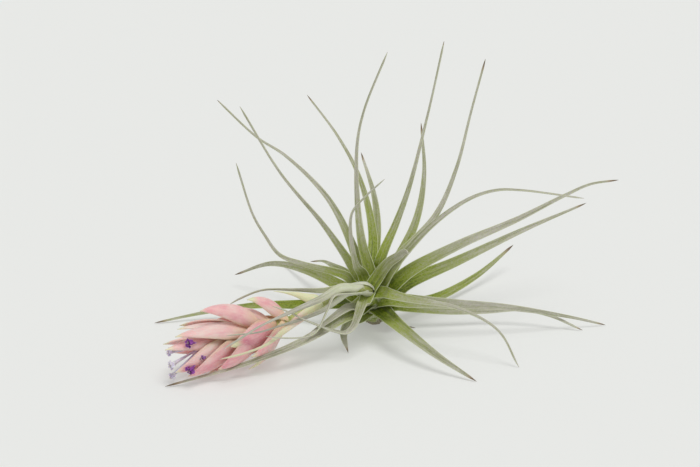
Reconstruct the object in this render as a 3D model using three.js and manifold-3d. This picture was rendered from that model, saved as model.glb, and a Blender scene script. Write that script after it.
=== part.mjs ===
// An air plant in flower, laid on a table: a rosette of channelled leaves round a short stem, and a
// flower stalk that leans out of the rosette's heart and rests its head of pink bracts on the table.
//
// Millimetres. +Z is up, +X to the right, +Y away from the viewer. The origin is on the table, at the
// middle of the small flat where the root end of the stem rests.

import * as THREE from "three";
import { mergeVertices } from "three/addons/utils/BufferGeometryUtils.js";
import Module from "manifold-3d";

const wasm = await Module();
wasm.setup();

// ---------------------------------------------------------------- driving dimensions

const GAP = 0.3; // between two pieces that touch

const ROOT_END = new THREE.Vector3(0, 3, 1.4); // middle of the stem's root end
const HEART = new THREE.Vector3(-3, -23, 25); // where the stem ends and the flower stalk begins
const STEM_PROFILE = [
  // [rise along the stem, radius]
  [0, 0],
  [0.3, 2.8],
  [1.6, 4.3],
  [6, 5],
  [15, 5.4],
  [23, 4.8],
  [29, 3.6],
  [35, 2.2],
];
const STEM_SIDES = 14;

const BLADE_EDGE = 0.4; // thickness of every blade's edge

const LEAF = {
  lean: 52, // degrees off the stem at the root
  sheath: 7, // length of the clasping base before the blade bends to its own way
  pinch: 0.15, // how much narrower the very root is than the blade
  channel: 0.17, // depth of the channel as a share of the width
  rootChannel: 0.12,
  tipWidth: 0.9,
  baseThickness: 1.3,
  tipThickness: 0.62,
  step: 8, // length between two sections
  sunk: 0.6, // how deep the root stands in the stem
};

// turn is the leaf's place round the stem in degrees, from the right over the top; rise is its place
// along the stem, low for the old outer leaves and high for the young inner ones. width is the base's,
// and a higher taper draws the blade out into a longer thread. points lead from the clasping base to
// the tip.
const LEAVES = [
  {
    name: "leaf_01_up_left_long",
    turn: 112, rise: 19.6, width: 6.4, taper: 2.2,
    points: [[-10, -4, 38], [-21, 9, 56], [-40, 21, 72], [-53, 27, 79], [-71, 35, 94]],
  },
  {
    name: "leaf_02_up_left",
    turn: 128, rise: 25.3, width: 6.2, taper: 2.8,
    points: [[-9, -14, 30], [-22, -14, 51], [-41, -10, 74], [-58, -5, 102]],
  },
  {
    name: "leaf_03_left_upturned",
    turn: 152, rise: 27.9, width: 6.2, taper: 2.8,
    points: [
      [-13, -21, 31], [-31, -25, 38], [-41, -27, 43], [-47, -28, 52], [-52, -31, 63],
      [-58, -34, 86],
    ],
  },
  {
    name: "leaf_04_left_back_curled",
    turn: 129, rise: 10.1, width: 6.5, taper: 1.4,
    points: [[-12, 5, 21], [-18, 18, 20], [-24, 36, 16], [-30, 46, 12]],
  },
  {
    name: "leaf_05_left_arched",
    turn: 154, rise: 16, width: 7, taper: 1.1,
    points: [[-16, -2, 19], [-32, 15, 20], [-48, 30, 17], [-66, 44, 6]],
  },
  {
    name: "leaf_06_left_low",
    turn: 173, rise: 12.2, width: 7.5, taper: 1.3,
    points: [[-13, -5, 12], [-30, 0, 9], [-53, 4, 7], [-74, 4, 4], [-99, -1, 0.35]],
  },
  {
    name: "leaf_07_heart_hooked",
    turn: 111, rise: 31.9, width: 6, taper: 2.2, finish: "silverLeaf",
    points: [[-9, -31, 41], [-11, -36, 58], [-10, -38, 66], [-5, -40, 73], [3, -43, 82]],
  },
  {
    name: "leaf_08_up",
    turn: 88, rise: 27.2, width: 6.8, taper: 2.6,
    points: [[-6, -10, 42], [-8, 0, 58], [-8, 8, 82], [-5, 11, 96], [5, 14, 121]],
  },
  {
    name: "leaf_09_up_back_left",
    turn: 95, rise: 17.4, width: 7, taper: 1.8,
    points: [[-1, 8, 38], [-7, 30, 59], [-17, 43, 75], [-31, 55, 91]],
  },
  {
    name: "leaf_10_up_back_short",
    turn: 90, rise: 12.7, width: 7, taper: 1.1,
    points: [[0, 10, 31], [1, 22, 39], [0, 38, 47], [-6, 62, 61]],
  },
  {
    name: "leaf_11_up_long",
    turn: 72, rise: 22, width: 7, taper: 2.6,
    points: [[2, -12, 35], [9, -3, 49], [15, 4, 64], [22, 15, 89], [30, 26, 123]],
  },
  {
    name: "leaf_12_up_back_right",
    turn: 62, rise: 15.1, width: 7, taper: 1.2,
    points: [[9, 4, 27], [19, 24, 41], [23, 42, 57], [22, 60, 76]],
  },
  {
    name: "leaf_13_up_right",
    turn: 50, rise: 24.2, width: 7, taper: 2.4,
    points: [[7, -15, 34], [26, -5, 53], [35, 4, 71], [42, 15, 95], [48, 22, 116]],
  },
  {
    name: "leaf_14_heart_folded",
    turn: 50, rise: 34.5, width: 6.5, taper: 0.5, finish: "silverLeaf",
    points: [[5.4, -27, 39.5], [9.3, -31, 44], [12.1, -35, 47.5], [13.2, -38, 47]],
  },
  {
    name: "leaf_15_right_arching",
    turn: 32, rise: 32, width: 6.8, taper: 2.4,
    points: [[8, -28, 39], [23, -29, 57], [39, -26, 68], [50, -24, 71], [60, -21, 70], [89, -12, 63]],
  },
  {
    name: "leaf_16_right_long",
    turn: 32, rise: 19.5, width: 8, taper: 1.5,
    points: [[15, -10, 29], [36, -5, 39], [63, 2, 49], [84, 8, 58], [95, 11, 62], [108, 14, 63]],
  },
  {
    name: "leaf_17_right_wide",
    turn: 20, rise: 17, width: 8, taper: 1.2,
    points: [[14, -4, 21], [36, 9, 26], [66, 24, 35], [98, 38, 44]],
  },
  {
    name: "leaf_18_right_back_short",
    turn: 22, rise: 9.8, width: 7, taper: 0.9,
    points: [[13, 4, 9], [26, 17, 4.5], [48, 41, 6.3], [68, 66, 12.8]],
  },
  {
    name: "leaf_19_right_drooping",
    turn: 344, rise: 33, width: 7, taper: 2.6,
    points: [[5, -29, 26], [13, -32, 25], [35, -36, 22], [51, -43, 15], [60, -48, 0.35]],
  },
  {
    name: "leaf_20_right_low_long",
    turn: 351, rise: 24, width: 7.5, taper: 1.4,
    points: [[10, -19, 19], [32, -16, 16], [58, -13, 13], [86, -7, 6], [103, -3, 0.35]],
  },
  {
    name: "leaf_21_right_low",
    turn: 0, rise: 12.9, width: 7, taper: 1.2,
    points: [[12, -8, 12], [33, -4, 8], [50, -2, 7], [65, -3, 8], [78, -6, 6], [92, -9, 0.35]],
  },
  {
    name: "leaf_22_front_wide",
    turn: 310, rise: 21.9, width: 8.5, taper: 1,
    points: [[8, -32, 14], [24, -51, 8], [41, -62, 0.35]],
  },
  {
    name: "leaf_23_front_left_short",
    turn: 233, rise: 18.2, width: 8, taper: 0.9,
    points: [[-10, -20, 10], [-14, -27, 6.5], [-12, -33.5, 0.35]],
  },
  {
    name: "leaf_24_heart_curled",
    turn: 255, rise: 34.5, width: 7, taper: 2.4, finish: "silverLeaf",
    points: [
      [-6, -33, 23.4], [-8, -36.5, 18.8], [-10, -39, 14.9], [-13, -41.5, 13.4],
      [-18, -43, 14.8], [-28.8, -45, 20.2], [-38, -47, 26], [-44, -45, 27],
    ],
  },
  {
    name: "leaf_25_front_left_long",
    turn: 232, rise: 25.6, width: 7.2, taper: 1.5,
    points: [[-15, -35, 17], [-30, -46, 12], [-52, -57, 7], [-87, -67, 0.35]],
  },
  {
    name: "leaf_26_front_left_stub",
    turn: 226, rise: 28.4, width: 6.5, taper: 1.1, finish: "silverLeaf",
    points: [[-12, -31, 20.5], [-20, -39, 18], [-30, -48, 14]],
  },
  {
    name: "leaf_27_dry_root_leaf",
    turn: 323, rise: 8.6, width: 4.5, taper: 1.1, finish: "dryLeaf",
    points: [[8, -5, 4], [13, -6, 1.6], [18, -6, 0.35]],
  },
  {
    name: "leaf_28_back_right",
    turn: 45, rise: 7.3, width: 7, taper: 1.2,
    points: [[6, 14, 9], [14, 40, 6], [24, 70, 0.35]],
  },
  {
    name: "leaf_29_back_left",
    turn: 136, rise: 7.5, width: 7, taper: 1.2,
    points: [[-9, 9, 12], [-24, 32, 9.8], [-33, 50, 6.4], [-44, 72, 0.35]],
  },
  {
    name: "leaf_30_back",
    turn: 91, rise: 5.6, width: 7, taper: 1.2,
    points: [[-3, 12, 13], [-8, 42, 10], [-13, 76, 0.35]],
  },
];

const STALK = {
  points: [[-3, -23.4, 25.4], [-6, -27.5, 28], [-13, -31, 28], [-22, -33, 24], [-36.5, -36.8, 17.1]],
  radius: 2,
  sides: 10,
  step: 5,
};
const STALK_LEAF = { baseThickness: 0.9, channel: 0.2, taper: 1.6, step: 6, sunk: 0.4 };

// Thin silver leaves on the stalk, with thread tips that lie over the bracts. along is the place of
// the root on the stalk, from 0 at the heart to 1 at the head.
const STALK_LEAVES = [
  {
    name: "stalk_leaf_1_over_head",
    along: 0.25, width: 6,
    points: [
      [-15, -34.5, 31], [-23, -40, 28.5], [-35, -48, 26], [-48, -57, 23], [-58, -64, 19],
      [-63, -67, 17],
    ],
  },
  {
    name: "stalk_leaf_2_along_head",
    along: 0.35, width: 5,
    points: [[-22, -39, 23], [-31, -44, 21], [-40, -50, 20.5], [-49, -56, 20], [-62, -60, 20]],
  },
  {
    name: "stalk_leaf_3_hanging",
    along: 0.12, width: 5, taper: 2.6,
    points: [
      [-11, -34, 28], [-18, -39, 29], [-21, -44, 24], [-26, -50, 17], [-33, -53, 16], [-41, -57, 18],
      [-46, -60, 20],
    ],
  },
  {
    name: "stalk_leaf_4_arching",
    along: 0.3, width: 4,
    points: [
      [-15, -27, 28], [-22, -25, 26], [-35, -22, 25], [-49, -20, 24], [-59, -20, 20],
      [-64, -20, 17],
    ],
  },
  {
    name: "lower_bract_1_green",
    along: 0.62, width: 7.5,
    points: [[-27, -33.5, 25.5], [-35, -33, 27.5], [-44, -32, 28.5]],
  },
  {
    name: "lower_bract_2_tailed",
    along: 0.72, width: 7.5,
    points: [[-33, -43, 20], [-39, -51, 18], [-45, -59, 16], [-54, -66, 15], [-64, -70, 14]],
  },
];

const HEAD = {
  from: new THREE.Vector3(-37, -37, 17), // lower end of the axis that the bracts grow on
  to: new THREE.Vector3(-85, -61, 11), // upper end, at the flowers
  coreRadius: 2.4,
  coreLength: 44,
  coreSides: 8,
};

// from and to are lengths along the head's axis, turn is the bract's place round it in degrees, from
// the top over the viewer's side, and reach is how far its tip stands off the axis.
const BRACTS = [
  { from: 1, to: 17, turn: -5, reach: 14.5, width: 7.5 },
  { from: 8, to: 25, turn: -32, reach: 12, width: 8.5 },
  { from: 12, to: 39, turn: 5, reach: 17, width: 8.5 },
  { from: 20, to: 48, turn: -25, reach: 10, width: 8.5 },
  { from: 17, to: 52, turn: 22, reach: 11, width: 9.5 },
  { from: 28, to: 57, turn: 35, reach: 7, width: 7 },
  { from: 28, to: 55.5, turn: 110, reach: 9, width: 10.5 },
  { from: 23, to: 51, turn: 120, reach: 11.5, width: 11.5 },
  { from: 14, to: 38.5, turn: 114, reach: 13.5, width: 11.5 },
  { from: 7, to: 31, turn: 82, reach: 10, width: 10.5 },
  { from: 3, to: 23.5, turn: 112, reach: 13, width: 8.5 },
  { from: 4, to: 24, turn: 145, reach: 14.5, width: 8 },
  { from: 14, to: 40, turn: 176, reach: 12.4, width: 9 },
  { from: 5, to: 27, turn: 204, reach: 13, width: 8.5 },
  { from: 16, to: 38, turn: 230, reach: 13.5, width: 9 },
  { from: 3, to: 22, turn: 252, reach: 13, width: 8.5 },
  { from: 10, to: 34, turn: 282, reach: 13.5, width: 9 },
  { from: 20, to: 45, turn: 308, reach: 12.5, width: 9 },
  { from: 26, to: 51, turn: 254, reach: 9.5, width: 8.5 },
  { from: 28, to: 52, turn: 186, reach: 8, width: 8.5 },
  { from: 31, to: 55, turn: 318, reach: 6, width: 8 },
];
const BRACT = {
  thickness: 0.9,
  channel: 0.27,
  sections: 5,
  bulgeAt: 0.42, // where along the bract it turns from standing off to pointing forward
  bulge: 0.88, // how far off it is there, as a share of its tip's reach
  widestAt: 0.4,
  rootShare: 0.6, // width at the root as a share of the full width
  tipWidth: 1,
};

// Each flower's place along the head and round it, and how far its mouth stands off the axis.
const FLOWERS = [
  { name: "flower_1", along: 46.5, turn: 44, reach: 9.5 },
  { name: "flower_2", along: 53.5, turn: 25, reach: 3.2 },
  { name: "flower_3", along: 54.5, turn: 105, reach: 4.5 },
  { name: "flower_4", along: 49, turn: 107, reach: 10.4 },
  { name: "flower_5", along: 42.5, turn: 93, reach: 8 },
  { name: "flower_6", along: 54.5, turn: 164, reach: 7.5 },
];
const FLOWER = {
  length: 9,
  tubeRadius: 0.8,
  tubeSides: 6,
  petals: 3,
  petalLength: 3.4,
  petalWidth: 2.2,
  petalThickness: 0.65,
  petalChannel: 0.1,
};

// ---------------------------------------------------------------- solids

const DEGREE = THREE.MathUtils.DEG2RAD;
const { lerp } = THREE.MathUtils;
const vector = (p) => new THREE.Vector3(...p);
const smoothCurve = (points) => new THREE.CatmullRomCurve3(points, false, "centripetal");

// A closed geometry as a manifold-3d solid.
function solidOf(geometry) {
  const bare = geometry.index ? geometry.toNonIndexed() : geometry.clone();
  for (const name of Object.keys(bare.attributes)) if (name !== "position") bare.deleteAttribute(name);
  const merged = mergeVertices(bare, 1e-4);
  return new wasm.Manifold(
    new wasm.Mesh({
      numProp: 3,
      vertProperties: new Float32Array(merged.attributes.position.array),
      triVerts: new Uint32Array(merged.index.array),
    }),
  );
}

function geometryOf(solid) {
  const mesh = solid.getMesh();
  return new THREE.BufferGeometry()
    .setAttribute("position", new THREE.BufferAttribute(new Float32Array(mesh.vertProperties), 3))
    .setIndex(new THREE.BufferAttribute(new Uint32Array(mesh.triVerts), 1));
}

// The largest body of a solid, without scraps or sealed hollows.
function mainBody(solid) {
  return solid.decompose().reduce((best, body) => (body.volume() > best.volume() ? body : best));
}

// A closed skin over rings of equally many points, each ring counterclockwise as seen from its front.
function loft(rings) {
  const around = rings[0].length;
  const positions = rings.flat().flatMap((p) => [p.x, p.y, p.z]);
  const faces = [];
  for (let i = 0; i < rings.length - 1; i++)
    for (let j = 0; j < around; j++) {
      const a = i * around + j;
      const b = i * around + ((j + 1) % around);
      faces.push(a, b, b + around, a, b + around, a + around);
    }
  const last = (rings.length - 1) * around;
  for (let j = 1; j < around - 1; j++) {
    faces.push(0, j + 1, j);
    faces.push(last, last + j, last + j + 1);
  }
  const geometry = new THREE.BufferGeometry();
  geometry.setAttribute("position", new THREE.Float32BufferAttribute(positions, 3));
  geometry.setIndex(faces);
  return geometry;
}

// Sections of a curve: place, tangent, and the upper side's normal carried along without twist.
function sections(curve, count, up) {
  const found = [];
  let normal = up.clone();
  for (let i = 0; i <= count; i++) {
    const s = i / count;
    const tangent = curve.getTangentAt(s);
    normal = normal.clone().addScaledVector(tangent, -normal.dot(tangent)).normalize();
    found.push({ s, at: curve.getPointAt(s), tangent, normal, side: tangent.clone().cross(normal) });
  }
  return found;
}

// A channelled blade: its upper side is hollow and its edges are thin. width, thickness and channel are
// functions of the place from 0 at the root to 1 at the tip, and grow makes it larger all over. inner
// are the places across between the two edges, of which -1 and 1 are the edges themselves.
function blade({ curve, up, count, width, thickness, channel, inner = [-0.45, 0.45], grow = 0 }) {
  const edgeSlope = 2 * (1 + inner.at(-1));
  const lower = [-1, ...inner, 1].map((across) => [across, -1]);
  const upper = [1, ...inner.toReversed(), -1].map((across) => [across, 1]);
  const rings = sections(curve, count, up).map(({ s, at, normal, side }) =>
    [...lower, ...upper].map(([across, face]) => {
      const atEdge = Math.abs(across) === 1;
      const reach = (across * width(s)) / 2 + (atEdge ? across * grow : 0);
      const lift = channel(s) * (width(s) * (across * across - 0.5) + (atEdge ? edgeSlope * grow : 0));
      const skin = (atEdge ? BLADE_EDGE : thickness(s)) / 2 + grow;
      return at.clone().addScaledVector(side, -reach).addScaledVector(normal, lift + face * skin);
    }),
  );
  return solidOf(loft(rings));
}

function tube(points, radius, sides, step) {
  const curve = smoothCurve(points);
  const circle = new THREE.Shape(
    Array.from({ length: sides }, (_, i) => {
      const angle = (2 * Math.PI * i) / sides;
      return new THREE.Vector2(radius * Math.cos(angle), radius * Math.sin(angle));
    }),
  );
  const steps = Math.ceil(curve.getLength() / step);
  return solidOf(new THREE.ExtrudeGeometry(circle, { extrudePath: curve, steps, bevelEnabled: false }));
}

// ---------------------------------------------------------------- the stem

const stemAxis = HEART.clone().sub(ROOT_END).normalize();
const stemRight = new THREE.Vector3(1, 0, 0).addScaledVector(stemAxis, -stemAxis.x).normalize();
const stemTop = stemAxis.clone().cross(stemRight);

const stemPoint = (rise) => ROOT_END.clone().addScaledVector(stemAxis, rise);
const stemOut = (turn) =>
  stemRight
    .clone()
    .multiplyScalar(Math.cos(turn * DEGREE))
    .addScaledVector(stemTop, Math.sin(turn * DEGREE));

function stemRadius(rise) {
  const above = STEM_PROFILE.findIndex(([r]) => r >= rise);
  const [r0, radius0] = STEM_PROFILE[above - 1];
  const [r1, radius1] = STEM_PROFILE[above];
  return radius0 + ((radius1 - radius0) * (rise - r0)) / (r1 - r0);
}

function stemSolid(grow) {
  const top = STEM_PROFILE.at(-1);
  const profile = STEM_PROFILE.map(([rise, radius]) => new THREE.Vector2(radius && radius + grow, rise));
  profile[0].y -= grow;
  profile.at(-1).y += grow;
  profile.push(new THREE.Vector2(0, top[0] + grow));
  const turned = new THREE.LatheGeometry(profile, STEM_SIDES);
  turned.applyQuaternion(new THREE.Quaternion().setFromUnitVectors(new THREE.Vector3(0, 1, 0), stemAxis));
  turned.translate(...ROOT_END.toArray());
  return solidOf(turned);
}

// Everything below the table top, which flattens what rests on it.
function belowTable() {
  const size = 400;
  return solidOf(new THREE.BoxGeometry(size, size, size).translate(0, 0, -size / 2));
}

// ---------------------------------------------------------------- leaves

function leafCurve({ turn, rise, points }) {
  const out = stemOut(turn);
  const root = stemPoint(rise).addScaledVector(out, stemRadius(rise) - LEAF.sunk);
  const lean = LEAF.lean * DEGREE;
  const sheathEnd = root
    .clone()
    .addScaledVector(stemAxis, LEAF.sheath * Math.cos(lean))
    .addScaledVector(out, LEAF.sheath * Math.sin(lean));
  return smoothCurve([root, sheathEnd, ...points.map(vector)]);
}

function leafSolid(leaf, grow) {
  const curve = leafCurve(leaf);
  const length = curve.getLength();
  const sheath = (s) => Math.exp((-s * length) / LEAF.sheath);
  const breadth = (s) => lerp(LEAF.tipWidth, leaf.width, Math.max(0, 1 - s) ** leaf.taper);
  return blade({
    curve,
    up: stemAxis,
    count: Math.max(6, Math.round(length / LEAF.step)),
    width: (s) => breadth(s) * (1 - LEAF.pinch * sheath(s)),
    thickness: (s) => lerp(LEAF.baseThickness, LEAF.tipThickness, s ** 0.5),
    channel: (s) => lerp(LEAF.channel, LEAF.rootChannel, sheath(s)),
    grow,
  });
}

// ---------------------------------------------------------------- flower stalk and its leaves

const stalkPoints = STALK.points.map(vector);
const stalkCurve = smoothCurve(stalkPoints);

function stalkLeafSolid({ along, width, taper = STALK_LEAF.taper, points }, grow) {
  const root = stalkCurve.getPointAt(along);
  const way = stalkCurve.getTangentAt(along);
  const first = vector(points[0]);
  const out = first.clone().sub(root);
  out.addScaledVector(way, -out.dot(way)).normalize();
  const start = root.clone().addScaledVector(out, STALK.radius - STALK_LEAF.sunk);
  const curve = smoothCurve([start, ...points.map(vector)]);
  return blade({
    curve,
    up: out.negate(),
    count: Math.max(6, Math.round(curve.getLength() / STALK_LEAF.step)),
    width: (s) => Math.max(LEAF.tipWidth, width * Math.max(0, 1 - s) ** taper),
    thickness: (s) => lerp(STALK_LEAF.baseThickness, LEAF.tipThickness, s),
    channel: () => STALK_LEAF.channel,
    grow,
  });
}

// ---------------------------------------------------------------- flower head

const headAxis = HEAD.to.clone().sub(HEAD.from).normalize();
const headTop = new THREE.Vector3(0, 0, 1).addScaledVector(headAxis, -headAxis.z).normalize();
const headFront = headTop.clone().cross(headAxis);

function headPoint(along, turn, reach) {
  return HEAD.from
    .clone()
    .addScaledVector(headAxis, along)
    .addScaledVector(headTop, reach * Math.cos(turn * DEGREE))
    .addScaledVector(headFront, reach * Math.sin(turn * DEGREE));
}

function bractSolid({ from, to, turn, reach, width }) {
  const curve = new THREE.QuadraticBezierCurve3(
    headPoint(from, turn, 0.8),
    headPoint(lerp(from, to, BRACT.bulgeAt), turn, BRACT.bulge * reach),
    headPoint(to, turn, reach),
  );
  const inward = headPoint(from, turn, 1).sub(headPoint(from, turn, 0)).negate();
  const widening = (s) => lerp(BRACT.rootShare, 1, Math.sin((s / BRACT.widestAt) * (Math.PI / 2)));
  const narrowing = (s) => 1 - ((s - BRACT.widestAt) / (1 - BRACT.widestAt)) ** 1.8;
  const shape = (s) => (s < BRACT.widestAt ? widening(s) : narrowing(s));
  return blade({
    curve,
    up: inward,
    count: BRACT.sections,
    width: (s) => Math.max(BRACT.tipWidth, width * shape(s)),
    thickness: () => BRACT.thickness,
    channel: () => BRACT.channel,
    inner: [0],
  });
}

function headSolid() {
  const axis = [GAP, HEAD.coreLength / 2, HEAD.coreLength].map((along) => headPoint(along, 0, 0));
  const core = tube(axis, HEAD.coreRadius, HEAD.coreSides, HEAD.coreLength / 3);
  return BRACTS.reduce((head, bract) => head.add(bractSolid(bract)), core);
}

function petalSolid(mouth, way, out, grow) {
  const reached = (forward, outward) =>
    mouth.clone().addScaledVector(way, forward).addScaledVector(out, outward);
  const long = FLOWER.petalLength;
  return blade({
    curve: new THREE.QuadraticBezierCurve3(
      reached(-1.2, 0.2),
      reached(0.8 * long, 0.5),
      reached(0.55 * long, 0.75 * long),
    ),
    up: out.clone().negate(),
    count: 3,
    width: (s) => FLOWER.petalWidth * (0.5 + 0.5 * Math.sin(Math.PI * (0.1 + 0.9 * s))),
    thickness: () => FLOWER.petalThickness,
    channel: () => FLOWER.petalChannel,
    inner: [0],
    grow,
  });
}

function flowerSolid({ along, turn, reach }, grow) {
  const mouth = headPoint(along, turn, reach);
  const base = headPoint(along - FLOWER.length, turn, reach * 0.35);
  const way = mouth.clone().sub(base).normalize();
  const right = way.clone().cross(headTop).normalize();
  const axis = [base, base.clone().lerp(mouth, 0.5), mouth];
  let flower = tube(axis, FLOWER.tubeRadius + grow, FLOWER.tubeSides, FLOWER.length);
  for (let i = 0; i < FLOWER.petals; i++) {
    const out = right.clone().applyAxisAngle(way, (2 * Math.PI * (i + 0.25)) / FLOWER.petals);
    flower = flower.add(petalSolid(mouth, way, out, grow));
  }
  return flower;
}

// ---------------------------------------------------------------- assembly

const finish = (color, roughness) => new THREE.MeshStandardMaterial({ color, roughness, metalness: 0 });
const MATERIALS = {
  leaf: finish(0x93a578, 0.75),
  silverLeaf: finish(0xb4b9a4, 0.8),
  dryLeaf: finish(0x8a7a5c, 0.85),
  stem: finish(0x9c9272, 0.85),
  stalk: finish(0xb9c98c, 0.7),
  bract: finish(0xdf9aa6, 0.6),
  flower: finish(0x8f5fc4, 0.55),
};

const plant = new THREE.Group();
const taken = []; // the room of every piece placed so far, larger all round by the gap

// Adds a piece to the plant, cleared of the pieces placed before it.
function place(name, material, make) {
  const touching = taken.filter((room) => room.intersect(make(0)).volume() > 1e-4);
  const solid = touching.reduce((left, room) => mainBody(left.subtract(room)), mainBody(make(0)));
  taken.push(make(GAP));
  const mesh = new THREE.Mesh(geometryOf(solid), material);
  mesh.name = name;
  plant.add(mesh);
}

const table = belowTable();
const youngestFirst = [...LEAVES].sort((a, b) => b.rise - a.rise);

place("stem", MATERIALS.stem, (grow) => stemSolid(grow).subtract(table));
place("flower_stalk", MATERIALS.stalk, (grow) =>
  tube(stalkPoints, STALK.radius + grow, STALK.sides, STALK.step),
);
for (const flower of FLOWERS) place(flower.name, MATERIALS.flower, (grow) => flowerSolid(flower, grow));
place("bract_head", MATERIALS.bract, () => mainBody(headSolid()).subtract(table));
for (const leaf of STALK_LEAVES)
  place(leaf.name, MATERIALS.silverLeaf, (grow) => stalkLeafSolid(leaf, grow));
for (const leaf of youngestFirst)
  place(leaf.name, MATERIALS[leaf.finish ?? "leaf"], (grow) => leafSolid(leaf, grow).subtract(table));

export default plant;
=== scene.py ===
# An air plant in flower, laid on a pale table: fine leaves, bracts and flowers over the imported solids.
#
# Sizes, places and routes are in millimetres, in the part's own frame, and become metres when a piece
# is made. The routes of leaves, stalk and bracts are the part's own, so each piece stays where its
# solid is.

import math
from types import SimpleNamespace as Sizes

import bpy
import numpy as np
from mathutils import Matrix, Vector


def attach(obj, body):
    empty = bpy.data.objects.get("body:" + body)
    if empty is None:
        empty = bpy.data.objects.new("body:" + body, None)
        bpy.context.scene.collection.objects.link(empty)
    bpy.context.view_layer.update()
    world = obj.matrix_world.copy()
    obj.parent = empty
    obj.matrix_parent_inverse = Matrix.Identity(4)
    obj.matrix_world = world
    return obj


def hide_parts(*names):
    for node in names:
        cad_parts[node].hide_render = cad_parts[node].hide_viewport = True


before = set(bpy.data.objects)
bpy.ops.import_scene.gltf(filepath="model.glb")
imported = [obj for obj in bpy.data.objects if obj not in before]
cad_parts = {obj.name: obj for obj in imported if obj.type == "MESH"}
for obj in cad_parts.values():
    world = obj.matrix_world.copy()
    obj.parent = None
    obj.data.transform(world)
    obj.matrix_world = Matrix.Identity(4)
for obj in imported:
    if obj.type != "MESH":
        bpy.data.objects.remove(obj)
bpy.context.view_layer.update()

MM = 0.001


# -------------------------------- sizes and routes

ROOT_END = (0, 3, 1.4)  # middle of the stem's root end
HEART = (-3, -23, 25)  # where the stem ends and the flower stalk begins
STEM_PROFILE = [(0, 0), (0.3, 2.8), (1.6, 4.3), (6, 5), (15, 5.4), (23, 4.8), (29, 3.6), (35, 2.2)]

STEM_SKIN = Sizes(
    inside=0.3,  # how far the skin stays inside the profile
    thinnest=0.3,
    ring_depth=0.25,
    ring_pace=1.3,  # radians to the millimetre
    ring_slant=1.5,
    coarse_ribs=(9, 0.12),  # count and height
    fine_ribs=(17, 0.08),
)

LEAF = Sizes(
    lean=52,  # degrees off the stem at the root
    sheath=7,  # length of the base before the blade bends to its own way
    bend=76,  # degrees that the blade is bent through from edge to edge
    tip_width=0.9,
    tip_length=4.5,  # the end that draws in to a point
    blunt_length=1.5,
    base_thickness=1.3,
    tip_thickness=0.62,
    sunk=0.6,  # how deep the root stands in the stem
    wave=0.25,  # how far the blade strays from its route
)
CLASP = Sizes(  # how a leaf's base holds the stem
    below=9,  # length that it reaches down from the root
    lowest=0.5,
    sunk=0.2,
    clear=0.4,
    wider=1.15,
    thinner=0.6,
    most=150,  # degrees round the stem
    fades=8,  # length past the root over which the hold gives way to the blade
)

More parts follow.
